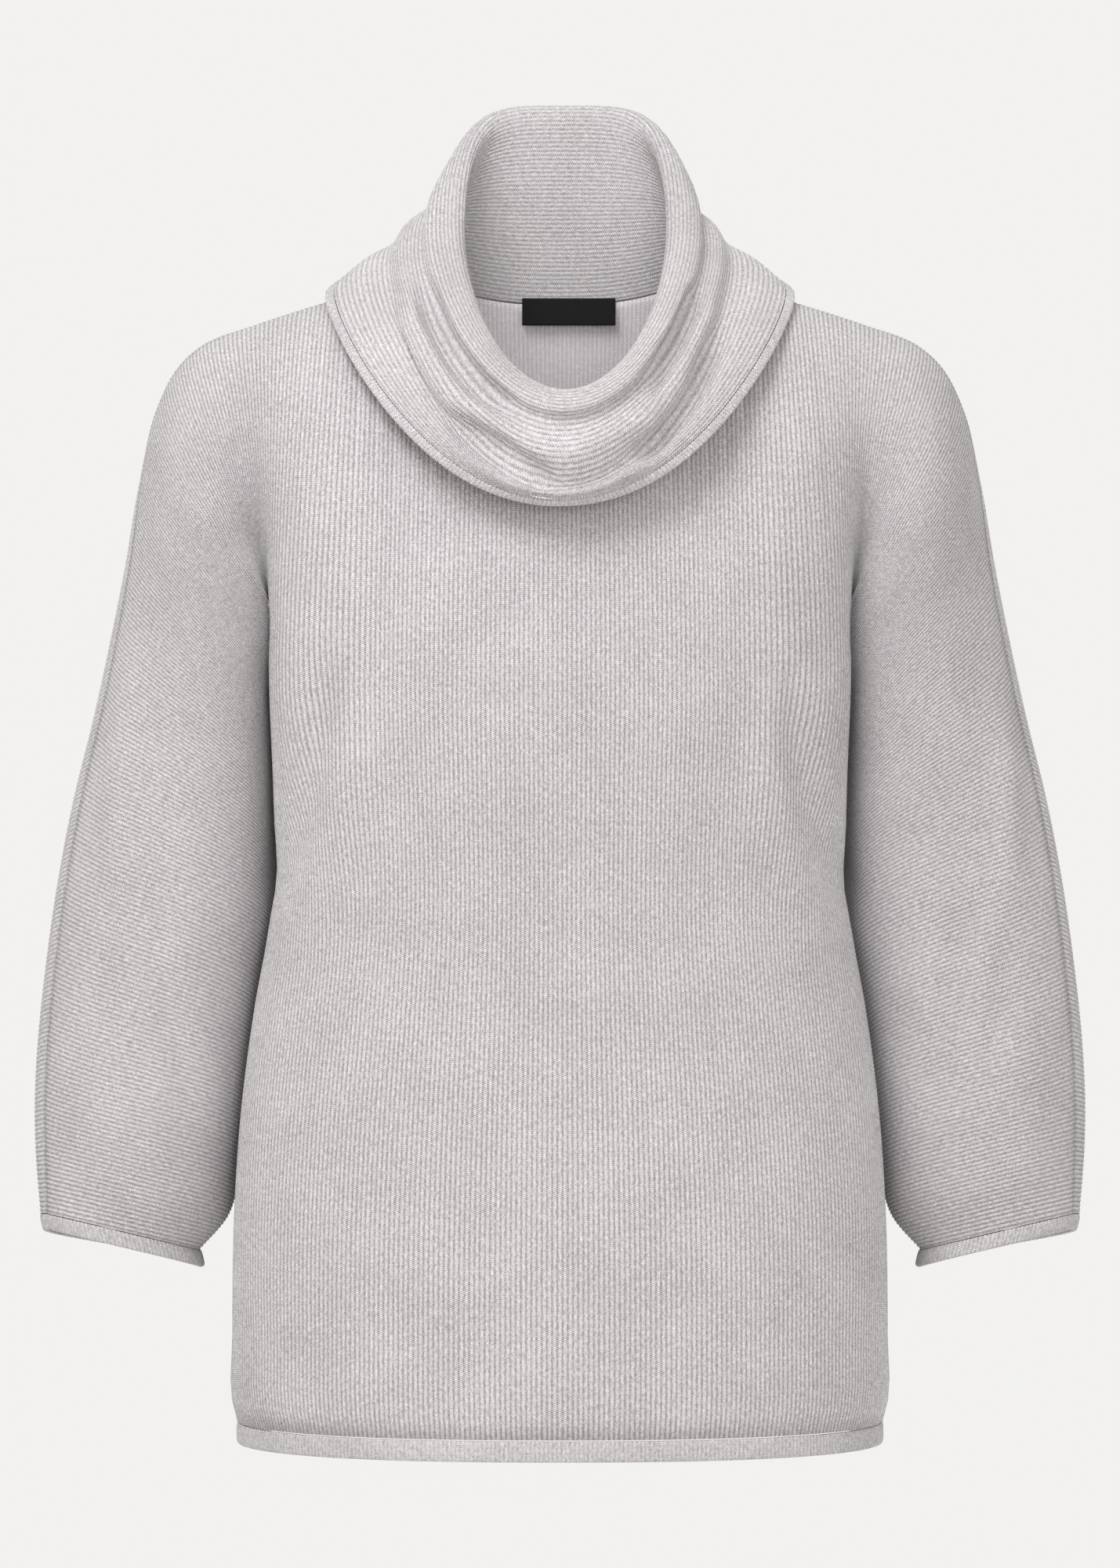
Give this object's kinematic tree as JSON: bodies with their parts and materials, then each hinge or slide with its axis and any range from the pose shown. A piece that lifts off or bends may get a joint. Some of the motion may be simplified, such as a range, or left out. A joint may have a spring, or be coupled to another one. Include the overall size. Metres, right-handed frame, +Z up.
{
  "type": "cowl neck sweater",
  "caption": "Hollow rib-knit sweater with a wide turned-down cowl collar and long kimono sleeves, hanging as it is worn.",
  "frame": {"origin": "over the middle of the shoulders, on the level of the back neck seam", "axes": "+Z up, the front of the garment faces -Y, +X towards the right of the picture"},
  "size_m": [0.5908, 0.2553, 0.754],
  "materials": {
    "rib_knit": "matte light grey melange rib knit",
    "collar_knit": "matte light grey melange rib knit, ribs round the neck",
    "band_knit": "matte tubular knit, slightly darker",
    "label_black": "black satin weave"
  },
  "bodies": {
    "root": {"front": "rib_knit", "back": "rib_knit", "cowl": "collar_knit", "cowl_edge": "band_knit", "hem_band": "band_knit", "cuff_left": "band_knit", "cuff_right": "band_knit", "neck_label": "label_black"}
  },
  "joints": []
}
